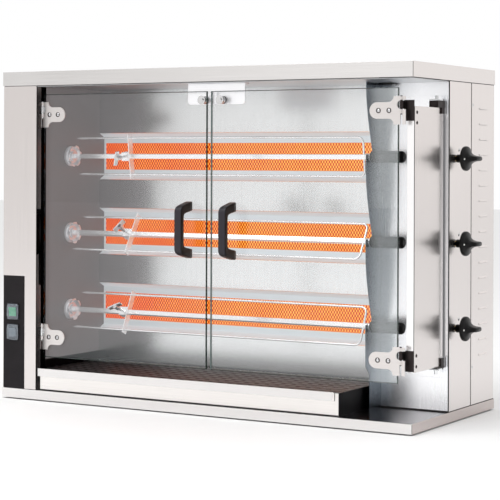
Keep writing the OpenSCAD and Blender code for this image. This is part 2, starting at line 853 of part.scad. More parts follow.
// Socket with a scalloped cup, its axle and the chain sprocket
module drive_socket(i) {
    flutes = 6;
    s = shaft_s / 2 + 0.5;
    len = socket_x[1] - socket_x[0];
    teeth = 16;
    axle_end = i == 1 ? sprocket_x - 14 : sprocket_x - 8;
    color("silver") at_spit(i) difference() {
        union() {
            translate([socket_x[0], 0, 0]) rotate([0, 90, 0]) rotate_extrude() polygon([
                [0, 0], [24, 0], [24, 5], [21, 7], [26, len], [22, len], [17, len - 6],
                [12, len - 6], [12, len - 1], [0, len - 1]]);
            rod_x([axle_end, socket_x[0] + 0.1], 0, 0, axle_r);
            rod_x([sprocket_x - 3, sprocket_x + 3], 0, 0, sprocket_r - 5);
            rod_x([sprocket_x - 3, sprocket_x + 14], 0, 0, 15);
            translate([sprocket_x - 2.5, 0, 0]) rotate([0, 90, 0])
                for (k = [0:teeth - 1])
                    rotate([0, 0, k * 360 / teeth]) linear_extrude(5)
                        polygon([[sprocket_r - 6, -4], [sprocket_r - 0.5, -1.5],
                            [sprocket_r - 0.5, 1.5], [sprocket_r - 6, 4]]);
        }
        box([tip_x - 3, socket_x[1] + 1], [-s, s], [-s, s]);
        for (k = [0:flutes - 1])
            rotate([k * 360 / flutes, 0, 0])
                rod_x([socket_x[0] + 8, socket_x[1] + 1], 0, 30, 8);
    }
}

module bottom_drive_socket() drive_socket(0);
module middle_drive_socket() drive_socket(1);
module top_drive_socket() drive_socket(2);

module socket_bearings() {
    back = chamber_left_x - sheet_t;
    color("dimgray") for (z = row_z) difference() {
        union() {
            rod_x([back - bearing_l, back], spit_y, z, bearing_r);
            box([back - 4, back], [spit_y - 34, spit_y + 34], [z - 14, z + 14]);
        }
        rod_x([back - bearing_l - 1, back + 1], spit_y, z, axle_r + 0.05);
    }
}

// Link chain around the three sprockets, as one band with the waists between its links
module drive_chain() {
    inner = sprocket_r;
    outer = sprocket_r + 6;
    span = row_z[2] - row_z[0];
    link = 18.6;
    color("dimgray") translate([sprocket_x, spit_y, row_z[0]]) rotate([90, 0, 90])
        translate([0, 0, -2.5]) linear_extrude(5) difference() {
            chain_band(outer, span);
            chain_band(inner, span);
            for (s = [-1, 1], k = [0:floor(span / link)])
                translate([s * outer, k * link]) circle(r = 1.6);
        }
}

module chain_band(r, span) {
    circle(r = r);
    translate([0, span]) circle(r = r);
    translate([-r, 0]) square([2 * r, span]);
}

module gearmotor() {
    out_x = sprocket_x - 14 - 0.3;
    z = row_z[1];
    back_x = -inner_x + sheet_t + gap;
    color("slategray") {
        box([back_x + 10, out_x - 6], [spit_y - 45, spit_y + 45], [z - 45, z + 45]);
        rod_x([out_x - 6.1, out_x], spit_y, z, 16);
        rod_z((back_x + out_x - 6) / 2 + 3, spit_y, [z - 130, z - 44.9], 16);
        box([back_x, back_x + 10.1], [spit_y - 60, spit_y + 60], [z - 55, z + 55]);
    }
}

module cable_gland() {
    front = inner_y;
    color("black") difference() {
        union() {
            rod_y(gland_x, [front, front + 6], gland_z, 13);
            rod_y(gland_x, [front + 5.9, front + 18], gland_z, 9.5);
            rod_y(gland_x, [front - 14, front + 0.1], gland_z, 9.8);
            rod_y(gland_x, [front - 8, front - sheet_t - gap], gland_z, 13);
        }
        rod_y(gland_x, [front - 15, front + 19], gland_z, gland_bore_r);
    }
}

// ---- Drip tray --------------------------------------------------------------------------

module drip_tray() {
    top = tray_z + tray_h;
    rim = top - grate_t;
    y = [tray_y, tray_y + tray_d];
    side_y = [y[0] + tray_wall + fold_slit, y[1] - tray_wall - fold_slit];
    wall_z = [tray_z + tray_wall + fold_slit, rim];
    color("gainsboro") {
        box(tray_x, y, [tray_z, tray_z + tray_wall]);
        box(tray_x, [y[0], y[0] + tray_wall], wall_z);
        box(tray_x, [y[1] - tray_wall, y[1]], wall_z);
        box([tray_x[0], tray_x[0] + tray_wall], side_y, wall_z);
        box([tray_x[1] - tray_wall, tray_x[1]], side_y, wall_z);
        box([tray_x[0] - 6, tray_x[1] - 9], [y[0] - fold_slit - 2.5, y[0] - fold_slit],
            [top - lip_h, top]);
    }
}

// Slotted plate that lies on the tray's rim
module drip_grate() {
    z = tray_z + tray_h - grate_t;
    cols = 14;
    rows = 9;
    border = 10;
    x = [tray_x[0] + 0.4, tray_x[1]];
    y = [tray_y + 0.3, tray_y + tray_d - grate_gap];
    pitch = [(x[1] - x[0] - 2 * border) / cols, (y[1] - y[0] - 2 * border) / rows];
    slot = [pitch[0] * 0.36, pitch[1] * 0.28];
    color("dimgray") difference() {
        box(x, y, [z, z + grate_t]);
        for (i = [0:cols - 1], j = [0:rows - 1])
            translate([x[0] + border + (i + 0.5) * pitch[0], y[0] + border + (j + 0.5) * pitch[1], z])
                box([-slot[0], slot[0]], [-slot[1], slot[1]], [-1, grate_t + 1]);
    }
}

// ---- Screws that hold the body's panels --------------------------------------------------

module body_screws() {
    color("silver") {
        for (z = seam_screw_z)
            translate([inner_x, seam_screw_y, z]) rotate([0, 90, 0]) pan_screw(3.5, screw_r, 5);
        for (z = valve_z)
            translate([inner_x, valve_y + valve_screw[0], z + valve_screw[1]]) rotate([0, 90, 0])
                pan_screw(4.5, screw_r, 5);
        for (x = rear_screw_x, z = rear_screw_z)
            translate([x, inner_y, z]) rotate([-90, 0, 0]) pan_screw(3.5, screw_r, 5);
        translate([wall_screw[0], chamber_back_y, wall_screw[1]]) rotate([90, 0, 0])
            pan_screw(4.5, screw_r, 5);
    }
}

base_tray();
rubber_feet();
top_cover();
left_front_panel();
left_side_panel();
rear_panel();
chamber_left_wall();
chamber_back_wall();
chamber_ceiling();
spit_support_plate();
housing_front_wall();
side_valve_panel();
side_louvre_panel();
label_plate();
switch_bodies();
motor_rocker();
lamp_rocker();
burner_housings();
radiant_plates();
gas_manifold();
gas_valves();
bottom_knob();
middle_knob();
top_knob();
left_glass();
right_glass();
left_handle();
right_handle();
left_hinge_plates();
right_hinge_plates();
left_hinge_brackets();
arm_hinge_fittings();
carrier_arm();
arm_brackets();
catch_plate();
door_magnets();
left_door_screws();
right_door_screws();
bottom_spit();
middle_spit();
top_spit();
bottom_spit_handle();
middle_spit_handle();
top_spit_handle();
bottom_locking_plate();
middle_locking_plate();
top_locking_plate();
bottom_wing_screw();
middle_wing_screw();
top_wing_screw();
bottom_drive_socket();
middle_drive_socket();
top_drive_socket();
drip_tray();
drip_grate();
drive_chain();
gearmotor();
cable_gland();
body_screws();
socket_bearings();
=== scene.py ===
"""Looks of the counter-top gas rotisserie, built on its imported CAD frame."""

import math

import bmesh
import bpy
from mathutils import Matrix, Vector


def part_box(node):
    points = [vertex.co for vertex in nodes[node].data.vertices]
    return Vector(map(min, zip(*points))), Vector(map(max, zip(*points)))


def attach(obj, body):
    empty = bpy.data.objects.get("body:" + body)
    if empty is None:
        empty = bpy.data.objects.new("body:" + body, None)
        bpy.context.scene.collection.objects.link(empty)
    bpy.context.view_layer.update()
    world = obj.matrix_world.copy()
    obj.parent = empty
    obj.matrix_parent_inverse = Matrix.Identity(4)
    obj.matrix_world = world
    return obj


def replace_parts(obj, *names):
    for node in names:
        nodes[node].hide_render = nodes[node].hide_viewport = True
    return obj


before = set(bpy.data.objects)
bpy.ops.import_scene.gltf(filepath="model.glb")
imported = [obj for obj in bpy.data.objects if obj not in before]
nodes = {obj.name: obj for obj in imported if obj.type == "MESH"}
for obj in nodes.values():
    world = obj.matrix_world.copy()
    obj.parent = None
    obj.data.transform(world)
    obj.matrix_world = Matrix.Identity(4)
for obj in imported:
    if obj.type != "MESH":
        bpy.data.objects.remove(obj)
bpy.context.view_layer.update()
ROWS = ("bottom", "middle", "top")


# ---- Node material helpers ---------------------------------------------------------------

class Nodes:
    """A material's node tree with short calls for adding and joining nodes."""

    def __init__(self, name):
        self.material = bpy.data.materials.new(name)
        self.material.use_nodes = True
        self.tree = self.material.node_tree
        self.shader = self.tree.nodes["Principled BSDF"]

    def add(self, kind, **settings):
        node = self.tree.nodes.new("ShaderNode" + kind)
        for key, value in settings.items():
            if key in node.inputs:
                node.inputs[key].default_value = value
            else:
                setattr(node, key, value)
        return node

    def link(self, source, target):
        self.tree.links.new(source, target)

    def set(self, **values):
        for key, value in values.items():
            self.shader.inputs[key.replace("_", " ")].default_value = value

    def coords(self, scale=(1, 1, 1)):
        """The object's own coordinates, in metres, stretched by scale."""
        source = self.add("TexCoord")
        mapping = self.add("Mapping")
        mapping.inputs["Scale"].default_value = scale
        self.link(source.outputs["Object"], mapping.inputs["Vector"])
        return mapping.outputs["Vector"]

    def noise(self, vector, scale, detail=3.0, roughness=0.5):
        node = self.add("TexNoise", Scale=scale, Detail=detail, Roughness=roughness)
        self.link(vector, node.inputs["Vector"])
        return node.outputs["Fac"]

    def remap(self, value, low, high, start=0.0, end=1.0):
        """Maps value from start..end to low..high."""
        node = self.add("MapRange")
        node.inputs["From Min"].default_value = start
        node.inputs["From Max"].default_value = end
        node.inputs["To Min"].default_value = low
        node.inputs["To Max"].default_value = high
        self.link(value, node.inputs["Value"])
        return node.outputs["Result"]

    def math(self, operation, a, b=0.0):
        node = self.add("Math", operation=operation)
        for socket, value in zip(node.inputs, (a, b)):
            if isinstance(value, (int, float)):
                socket.default_value = value
            else:
                self.link(value, socket)
        return node.outputs["Value"]

    def blend(self, factor, first, second):
        """Mixes two colours, each given as a colour or as a socket."""
        node = self.add("Mix", data_type="RGBA")
        self.link(factor, node.inputs["Factor"])
        for socket, value in ((node.inputs[6], first), (node.inputs[7], second)):
            if isinstance(value, tuple):
                socket.default_value = value
            else:
                self.link(value, socket)
        return node.outputs[2]

    def bump(self, height, distance, strength=1.0, normal=None):
        node = self.add("Bump", Strength=strength, Distance=distance)
        self.link(height, node.inputs["Height"])
        if normal is not None:
            self.link(normal, node.inputs["Normal"])
        return node.outputs["Normal"]

    def facing(self, axis, start=0.3, end=0.8):
        """0 to 1 as the surface turns to face the given axis of the object."""
        source = self.add("TexCoord")
        along = self.add("VectorMath", operation="DOT_PRODUCT")
        self.link(source.outputs["Normal"], along.inputs[0])
        along.inputs[1].default_value = axis
        return self.remap(along.outputs["Value"], 0.0, 1.0, start, end)

    def place(self, axis, start, end):
        """0 to 1 between two places along X, Y or Z, in metres."""
        split = self.add("SeparateXYZ")
        self.link(self.coords(), split.inputs["Vector"])
        return self.remap(split.outputs[axis], 0.0, 1.0, start, end)

    def soft_edges(self, radius):
        node = self.add("Bevel", samples=4, Radius=radius)
        return node.outputs["Normal"]


def rgb(red, green, blue):
    """A colour read as sRGB bytes, as the linear RGBA that sockets hold."""
    def linear(v):
        v /= 255
        return v / 12.92 if v <= 0.04045 else ((v + 0.055) / 1.055) ** 2.4
    return (linear(red), linear(green), linear(blue), 1.0)


def steel(name, colour, roughness, grain="x", grain_depth=4e-6, spread=0.05, edge=0.0006,
          patches=(), painted_glow=None):
    """Brushed or polished sheet: fine scratches along one axis, faint smears and soft edges.
    Each patch is a function of the nodes that gives (factor, colour, more roughness). The glow colour
    is painted light: it is emitted by the last patch, or by the whole sheet, in place of the light
    the sheet would scatter from its surroundings."""
    n = Nodes(name)
    along = {"x": (6, 900, 900), "y": (900, 6, 900), "z": (900, 900, 6)}[grain]
    streaks = n.noise(n.coords(along), 1.0, 4.0, 0.6)
    smears = n.noise(n.coords((3, 3, 3)), 2.0, 4.0, 0.55)
    dull = tuple(c * 0.93 for c in colour[:3]) + (1.0,)
    tone = n.blend(n.remap(streaks, 0, 1, 0.3, 0.7), dull, colour)
    varied = n.math("ADD", n.remap(streaks, -spread, spread), n.remap(smears, -spread, spread))
    # With no patches, the painted glow covers the whole sheet, a little unevenly.
    factor = n.remap(smears, 0.9, 1.0, 0.3, 0.7)  # for a sheet that is lit all over
    for patch in patches:
        factor, patch_colour, more = patch(n)
        tone = n.blend(factor, tone, patch_colour)
        varied = n.math("ADD", varied, n.math("MULTIPLY", factor, more))
    # Painted glow: an emitted colour that stands in for light scattered from the surroundings.
    if painted_glow:
        n.link(n.blend(factor, (0, 0, 0, 1), painted_glow), n.shader.inputs["Emission Color"])
        n.set(Emission_Strength=1.0)
    n.link(tone, n.shader.inputs["Base Color"])
    n.link(n.math("ADD", varied, roughness), n.shader.inputs["Roughness"])
    n.link(n.bump(streaks, grain_depth, 1.0, n.soft_edges(edge)), n.shader.inputs["Normal"])
    n.set(Metallic=1.0)
    return n.material


def polished_metal(name, colour, roughness, edge=0.0004):
    """Turned or drawn metal, with a faint uneven polish."""
    n = Nodes(name)
    cloud = n.noise(n.coords(), 60.0, 5.0, 0.6)
    n.link(n.blend(cloud, tuple(c * 0.85 for c in colour[:3]) + (1.0,), colour),
           n.shader.inputs["Base Color"])
    n.link(n.remap(cloud, roughness * 0.6, roughness * 1.5), n.shader.inputs["Roughness"])
    n.link(n.bump(cloud, 2e-5, 0.4, n.soft_edges(edge)), n.shader.inputs["Normal"])
    n.set(Metallic=1.0)
    return n.material


def plastic(name, colour, roughness, grain=300.0, depth=3e-5, edge=0.0012, painted_shading=None,
            specular=0.5):
    """Moulded plastic or enamel with a fine grain; the optional shading function of the nodes gives
    (factor, colour) for painted light and shade, where the surface is drawn lighter or darker than
    its own colour."""
    n = Nodes(name)
    vector = n.coords()
    pits = n.noise(vector, grain * 6, 2.0, 0.5)
    wear = n.noise(vector, 25.0, 5.0, 0.6)
    lighter = tuple(min(1.0, c * 1.5 + 0.004) for c in colour[:3]) + (1.0,)
    tone = n.blend(n.remap(wear, 0, 0.6, 0.45, 0.8), colour, lighter)
    # Painted light and shade, where a shading function is given.
    if painted_shading:
        factor, shading_colour = painted_shading(n)
        tone = n.blend(factor, tone, shading_colour)
    n.link(tone, n.shader.inputs["Base Color"])
    n.set(Specular_IOR_Level=specular)
    n.link(n.remap(wear, roughness - 0.06, roughness + 0.1), n.shader.inputs["Roughness"])
    n.link(n.bump(pits, depth, 0.5, n.soft_edges(edge)), n.shader.inputs["Normal"])
    return n.material


def glass_face():
    """Door glass with a faint reflective film, made denser beside the right hinges as a painted
    reflection.
    """
    n = Nodes("door_glass")
    smudges = n.noise(n.coords(), 7.0, 5.0, 0.65)
    n.link(n.remap(smudges, 0.0, 0.03, 0.45, 0.8), n.shader.inputs["Roughness"])
    film = n.remap(smudges, 0.03, 0.042, 0.3, 0.7)
    # Painted reflection: more film beside the right hinges.
    n.link(n.math("ADD", film, n.math("MULTIPLY", n.place("X", 0.425, 0.452), 0.14)),
           n.shader.inputs["Alpha"])
    n.set(Metallic=1.0, Base_Color=rgb(240, 246, 248))
    return n.material


def radiant_face():
    """Glowing perforated ceramic: holes in staggered rows, hotter towards the right half."""
    hole_pitch, row_pitch = 0.0072, 0.0058
    n = Nodes("radiant_ceramic")
    split = n.add("SeparateXYZ")
    n.link(n.coords(), split.inputs["Vector"])
    across = n.math("COSINE", n.math("MULTIPLY", split.outputs["X"], 2 * math.pi / hole_pitch))
    up = n.math("COSINE", n.math("MULTIPLY", split.outputs["Z"], math.pi / row_pitch))
    holes = n.remap(n.math("MULTIPLY", across, up), 0, 1, -0.12, 0.3)
    patches = n.noise(n.coords(), 9.0, 4.0, 0.6)
    warm = n.math("ADD", n.remap(split.outputs["X"], 0.0, 0.7, -0.42, 0.0),
                  n.remap(patches, -0.15, 0.3, 0.3, 0.7))
    low = n.blend(warm, rgb(180, 10, 0), rgb(206, 50, 0))
    high = n.blend(warm, rgb(255, 118, 20), rgb(255, 200, 78))
    n.link(n.blend(holes, low, high), n.shader.inputs["Emission Color"])
    n.link(n.blend(holes, rgb(16, 4, 2), rgb(120, 74, 46)), n.shader.inputs["Base Color"])
    n.set(Roughness=0.9, Emission_Strength=1.12, Specular_IOR_Level=0.1)
    n.link(n.bump(holes, 0.0006, 0.6), n.shader.inputs["Normal"])
    return n.material


def clear_rubber():
    """Cloudy clear rubber of the switch covers."""
    n = Nodes("clear_rubber")
    cloud = n.noise(n.coords(), 90.0, 4.0, 0.6)
    n.link(n.blend(cloud, rgb(120, 132, 144), rgb(196, 206, 214)), n.shader.inputs["Base Color"])
    n.link(n.remap(cloud, 0.1, 0.25), n.shader.inputs["Roughness"])
    n.link(n.bump(cloud, 3e-4, 0.4), n.shader.inputs["Normal"])
    n.set(Alpha=0.42, Coat_Weight=0.6, Coat_Roughness=0.08)
    return n.material


def painted_dot():
    """White index paint with a slightly uneven edge and sheen."""
    n = Nodes("index_paint")
    cloud = n.noise(n.coords(), 400.0, 3.0, 0.6)
    n.link(n.blend(cloud, rgb(214, 214, 210), rgb(246, 246, 242)), n.shader.inputs["Base Color"])
    n.link(n.remap(cloud, 0.35, 0.55), n.shader.inputs["Roughness"])
    return n.material


def coat(material, *names):
    """Puts one material on every slot of the named CAD nodes."""
    for name in names:
        mesh = nodes[name].data
        mesh.materials.clear()
        mesh.materials.append(material)


FRONT, RIGHT, UP = (0, -1, 0), (1, 0, 0), (0, 0, 1)


def faces(axis, colour, rougher=0.0):
    """Painted light or shade: a patch of colour on the surfaces that face an axis."""
    return lambda n: (n.facing(axis), colour, rougher)


def painted_beyond(axis, start, end, colour, rougher=0.0):
    """Painted light or shade: a patch that fades in between two places along an axis, in metres."""
    return lambda n: (n.place(axis, start, end), colour, rougher)


def painted_light_above_tray(n):
    """Painted light on the chamber wall's inner face, from a little above the tray's rim upwards:
    grey, with the sheet's painted glow. Below it, and on the outer face, the wall stays near-black as
    painted shade.
    """
    return n.math("MULTIPLY", n.place("Z", 0.094, 0.097), n.facing(RIGHT)), rgb(96, 94, 96), 0.0


def not_front(n):
    """Surfaces of the tray that don't face the front, made near-black."""
    return n.remap(n.facing(FRONT), 1.0, 0.0), rgb(22, 20, 21), 0.1


outer = steel("outer_steel", rgb(236, 230, 228), 0.26, "z", 1e-6, 0.015)
# Sides facing +X are a little darker: painted shade.
outer_x = steel("outer_steel_x", rgb(238, 236, 235), 0.24, "x",
                patches=(faces(RIGHT, rgb(232, 227, 225)),))
# Sides facing +X are darker and upward faces dark grey: painted shade.
base_steel = steel("base_steel", rgb(240, 238, 237), 0.24, "x",
                   patches=(faces(RIGHT, rgb(206, 196, 193)),
                            faces(UP, rgb(122, 119, 124), -0.05)))
# Past the back wall's plane, the recessed channels turn a rougher, darker grey and carry a painted
# glow.
inner = steel("inner_steel", rgb(244, 246, 247), 0.24, "z", 2e-7, 0.008, painted_glow=rgb(160, 163, 165),
              patches=(painted_beyond("Y", 0.0338, 0.0362, rgb(180, 186, 190), 0.3),))
ceiling = steel("ceiling_steel", rgb(196, 198, 200), 0.34, "x", 1.5e-6, 0.02)
# A near-black sheet as painted shade; its inner face above the tray is grey with a painted glow.
wall = steel("wall_steel", rgb(14, 13, 14), 0.6, "z", 1e-6, 0.02, painted_glow=rgb(92, 88, 88),
             patches=(painted_light_above_tray,))
# The side facing +X, the jamb beside the chamber, is painted near-black as shade.
column_steel = steel("column_steel", rgb(236, 230, 228), 0.26, "z", 1e-6, 0.015,
                     patches=(faces(RIGHT, rgb(14, 13, 14), 0.2),))
# Front faces are lighter and carry a painted glow: painted light.
arm_steel = steel("arm_steel", rgb(232, 226, 224), 0.26, "z", 1e-6, 0.015, painted_glow=rgb(70, 70, 72),
                  patches=(faces(FRONT, rgb(252, 251, 251)),))
# Sockets and spits carry a painted glow all over.
socket_steel = steel("socket_steel", rgb(200, 200, 202), 0.36, "x", painted_glow=rgb(112, 112, 114))
spit_steel = steel("spit_steel", rgb(230, 230, 232), 0.24, "x", 1e-6, 0.02, painted_glow=rgb(112, 112, 112))
# Lighter towards its right end, where it also carries a painted glow: painted light.
front_steel = steel("front_steel", rgb(238, 240, 244), 0.27, "z", 2e-7, 0.008,
                    painted_glow=rgb(104, 104, 106),
                    patches=(painted_beyond("X", 0.39, 0.47, rgb(250, 251, 253)),))
# Front faces carry a painted glow.
catch_steel = steel("catch_steel", rgb(250, 250, 252), 0.3, "x", painted_glow=rgb(120, 120, 122),
                    patches=(faces(FRONT, rgb(246, 246, 248)),))
tray_steel = steel("tray_steel", rgb(244, 240, 238), 0.26, "x", patches=(not_front,))
mirror = steel("mirror_steel", rgb(240, 241, 243), 0.05, "z", 1e-6, 0.01)
blue_steel = steel("blue_steel", rgb(120, 129, 138), 0.24, "z", 4e-7, 0.01)
plate_steel = steel("plate_steel", rgb(232, 227, 225), 0.36, "x", 2e-6, 0.03)
bright = polished_metal("bright_metal", rgb(232, 232, 233), 0.14)
dark_metal = polished_metal("dark_metal", rgb(62, 56, 56), 0.38)
# Near-black at the left and lighter towards the right: painted shade and light.
grate_metal = plastic("grate_enamel", rgb(14, 12, 12), 0.36, specular=0.3, painted_shading=lambda n: (
    n.place("X", -0.3, 0.3), rgb(66, 58, 56)))
brass = polished_metal("brass", rgb(205, 170, 95), 0.25)
# Front-facing surfaces are lighter: a painted sheen.
black = plastic("black_plastic", rgb(13, 12, 14), 0.36, edge=0.0008, specular=0.3,
                painted_shading=lambda n: (n.facing(FRONT, 0.2, 0.95), rgb(44, 41, 48)))
deep_black = plastic("black_handle", rgb(8, 8, 9), 0.4, specular=0.15)
edge_green = plastic("glass_edge", rgb(16, 40, 32), 0.12)
# Dark beads that paint the shadows in gaps, folds and corners.
shadow_black = plastic("seam_shadow_black", rgb(30, 27, 27), 0.6)
knob_black = plastic("knob_black", rgb(9, 8, 9), 0.3, 300.0, 2e-5, 0.0006, specular=0.2)
edge_grey = plastic("glass_edge_grey", rgb(96, 112, 110), 0.2)
lip_steel = steel("lip_steel", rgb(250, 247, 244), 0.3, "x")
glass = glass_face()
radiant = radiant_face()
boot = clear_rubber()
paint = painted_dot()

coat(outer_x, "top_cover")
coat(base_steel, "base_tray")
coat(tray_steel, "drip_tray")
coat(outer, "left_side_panel", "rear_panel", "side_valve_panel", "side_louvre_panel")
coat(column_steel, "left_front_panel")
coat(arm_steel, "carrier_arm")
coat(plate_steel, "left_hinge_plates", "right_hinge_plates")
coat(catch_steel, "catch_plate")
coat(inner, "chamber_back_wall", "burner_housings", "left_hinge_brackets")
coat(ceiling, "chamber_ceiling")
coat(wall, "chamber_left_wall")
coat(blue_steel, "spit_support_plate")
coat(mirror, "arm_brackets")
coat(front_steel, "housing_front_wall")
coat(plastic("feet_rubber", rgb(30, 30, 30), 0.7), "rubber_feet")
coat(plastic("label_black", rgb(24, 20, 23), 0.45, specular=0.2), "label_plate")
coat(black, "switch_bodies", "left_handle", "right_handle")
coat(deep_black, "cable_gland", *(row + end for row in ROWS for end in ("_knob", "_spit_handle")))
coat(plastic("green_plastic", rgb(60, 200, 130), 0.2), "motor_rocker")
coat(plastic("smoke_plastic", rgb(96, 106, 116), 0.2), "lamp_rocker")
coat(radiant, "radiant_plates")
coat(bright, "gas_manifold", "left_door_screws", "right_door_screws", "body_screws",
     *(row + "_wing_screw" for row in ROWS))
coat(spit_steel, *(row + end for row in ROWS for end in ("_spit", "_locking_plate")))
coat(socket_steel, *(row + "_drive_socket" for row in ROWS))
coat(brass, "gas_valves")
coat(dark_metal, "arm_hinge_fittings", "door_magnets", "drive_chain", "socket_bearings",
     "gearmotor")
coat(grate_metal, "drip_grate")
coat(glass, "left_glass", "right_glass")


# ---- Detailed pieces ---------------------------------------------------------------------

def piece(name, shape, material, body, smooth=True):
    """Turns a bmesh into an object that rides on a body."""
    bmesh.ops.recalc_face_normals(shape, faces=shape.faces)
    mesh = bpy.data.meshes.new(name)
    shape.to_mesh(mesh)
    shape.free()
    for face in mesh.polygons:
        face.use_smooth = smooth
    mesh.materials.append(material)
    thing = bpy.data.objects.new(name, mesh)
    bpy.context.scene.collection.objects.link(thing)
    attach(thing, body)
    return thing


def loft(shape, rings, capped=True):
    """Skins a row of rings, each a list of points, and closes both ends."""
    rows = [[shape.verts.new(point) for point in ring] for ring in rings]
    for first, second in zip(rows, rows[1:]):
        for i in range(len(first)):
            j = (i + 1) % len(first)
            shape.faces.new((first[i], first[j], second[j], second[i]))
    if capped:
        shape.faces.new(rows[0])
        shape.faces.new(rows[-1])


def rounded(count, half_u, half_v, power=2.0):
    """Points (u, v) of a superellipse; power 2 is an ellipse and larger is squarer."""
    points = []
    for i in range(count):
        angle = 2 * math.pi * i / count
        c, s = math.cos(angle), math.sin(angle)
        points.append((half_u * math.copysign(abs(c) ** (2 / power), c),
                       half_v * math.copysign(abs(s) ** (2 / power), s)))
    return points


def middle(name):
    """Middle of a CAD node's box."""
    low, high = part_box(name)
    return [(a + b) / 2 for a, b in zip(low, high)]


def bridge_handle(side):
    """Moulded bridge handle: chamfered grip between two legs that widen towards the glass."""
    node = side + "_handle"
    x, _, z = middle(node)
    glass_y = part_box(node)[1][1]
    # How far out, then half the outer height, half the inner height and the width in millimetres
    profile = [(0.0, 64, 42.6, 19), (0.010, 61.8, 41, 18.8), (0.020, 59.4, 39.3, 18.6),
               (0.030, 56.8, 37.4, 18.5), (0.0375, 54.4, 35.4, 18.5), (0.043, 51, 33, 18.5),
               (0.0463, 46, 29.5, 18.5), (0.047, 41, 26, 18.5), (0.047, 14, 10, 18.5)]
    # How far out the inner side is at the same places
    inner_out = [0.0, 0.0095, 0.019, 0.0265, 0.0305, 0.0322, 0.033, 0.0332, 0.0332]
    rings = []
    half = [((out, z_out / 1000), (out_in, z_in / 1000), width / 2000)
            for (out, z_out, z_in, width), out_in in zip(profile, inner_out)]
    whole = [(o, i, w, 1) for o, i, w in half] + [(o, i, w, -1) for o, i, w in reversed(half)]
    for (out_y, out_z), (in_y, in_z), width, sign in whole:
        ring = []
        for u, v in rounded(40, 1.0, 1.0, 7.0):
            t = (v + 1) / 2
            ring.append((x + u * width, glass_y - (in_y + (out_y - in_y) * t),
                         z + sign * (in_z + (out_z - in_z) * t)))
        rings.append(ring)
    shape = bmesh.new()
    loft(shape, rings)
    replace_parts(piece(node + "_moulded", shape, black, side + "_door"), node)


def gas_knob(row):
    """Turned skirt that flows into a flat grip, on its spindle, with a painted index dot."""
    node = row + "_knob"
    low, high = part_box(node)
    y, z = (low[1] + high[1]) / 2, (low[2] + high[2]) / 2
    tip = high[0]
    # Distance back from the tip, half width and half height in millimetres, and squareness
    stations = [(75, 4, 4, 2), (52, 4, 4, 2), (51.9, 9, 9, 2), (36.5, 9, 9, 2),
                (36.3, 24, 24, 2), (35.2, 26.4, 26.4, 2), (33.6, 27, 27, 2), (30, 27, 27, 2),
                (28.2, 26.5, 26.5, 2), (27, 25.4, 25.4, 2), (26, 23.2, 22.6, 2),
                (24.4, 20.8, 18.2, 2.1), (21.5, 18.9, 13.2, 2.3), (17.5, 17.8, 9.3, 2.7),
                (12.5, 17.2, 7.0, 3.2), (7, 17, 5.8, 3.6), (2.6, 17, 5.3, 4),
                (0.9, 16.5, 4.8, 4), (0.0, 15.2, 3.6, 4)]
    shape = bmesh.new()
    loft(shape, [[(tip - back / 1000, y + u / 1000, z + v / 1000)
                  for u, v in rounded(64, half_y, half_z, power)]
                 for back, half_y, half_z, power in stations])
    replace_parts(piece(node + "_turned", shape, knob_black, node), node)
    dot = bmesh.new()
    centre = Vector((tip - 0.0262, y - 0.0222, z - 0.001))
    normal = Vector((0.80, -0.60, 0.0))
    side = Vector((0.60, 0.80, 0.0))
    rings = []
    for radius, rise in ((2.3, -0.5), (2.3, 0.3), (1.9, 0.7), (1.0, 0.95), (0.3, 1.0)):
        rings.append([centre + normal * (rise / 1000) + side * (u / 1000)
                      + Vector((0, 0, v / 1000)) for u, v in rounded(20, radius, radius)])
    loft(dot, rings)
    piece(node + "_dot", dot, paint, node)


def switch_cover(node, name):
    """Clear splash cover over a rocker: flanged rim and a soft raised dome."""
    x, _, z = middle(node)
    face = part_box("label_plate")[0][1]
    shape = bmesh.new()
    # Distance out of the plate, then half width and half height in millimetres, and squareness
    stations = [(0.0, 17.0, 18.5, 7), (0.0026, 17.0, 18.5, 7), (0.0034, 16.4, 17.9, 7),
                (0.0036, 14.6, 16.1, 6), (0.0060, 14.0, 15.4, 6), (0.0082, 12.9, 14.2, 5),
                (0.0092, 10.6, 11.8, 4.5), (0.0094, 6.0, 7.0, 4)]
    loft(shape, [[(x + u / 1000, face - out, z + v / 1000)
                  for u, v in rounded(48, half_x, half_z, power)]
                 for out, half_x, half_z, power in stations], capped=False)
    bmesh.ops.contextual_create(shape, geom=[e for e in shape.edges if e.is_boundary
                                             and all(v.co.y < face - 0.009 for v in e.verts)])
    piece(name, shape, boot, "body")


def glass_edge(side):
    """Ground edge of a door pane: a band with softened arrises on all but its left side."""
    low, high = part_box(side + "_glass")
    y = (low[1] + high[1]) / 2
    half = (high[1] - low[1]) / 2
    section = [(-0.0014, -half), (0.0, -half + 0.0005), (0.00025, 0), (0.0, half - 0.0005),
               (-0.0014, half), (-0.0002, 0)]
    shape = bmesh.new()
    corners = [(low[0], low[2], 0, -1), (high[0], low[2], 1, -1), (high[0], high[2], 1, 1),
               (low[0], high[2], 0, 1)]
    rings = []
    for x, z, sign_x, sign_z in corners:
        rings.append([(x + sign_x * out, y + across, z + sign_z * out)
                      for out, across in section])
    loft(shape, rings)
    piece(side + "_glass_edge", shape, edge_green, side + "_door", smooth=False)


def meeting_edge():
    """Ground left edge of the right pane, which catches the light beside the other pane."""
    low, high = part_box("right_glass")
    shape = bmesh.new()
    rings = []
    for z in (low[2], high[2]):
        rings.append([(low[0] + x, low[1] + y, z) for x, y in
                      ((0.0012, -0.0001), (0.0002, -0.0001), (-0.0001, 0.0002),
                       (-0.0001, high[1] - low[1]), (0.0012, high[1] - low[1] + 0.0001))])
    loft(shape, rings)
    piece("right_glass_meeting_edge", shape, edge_grey, "right_door", smooth=False)


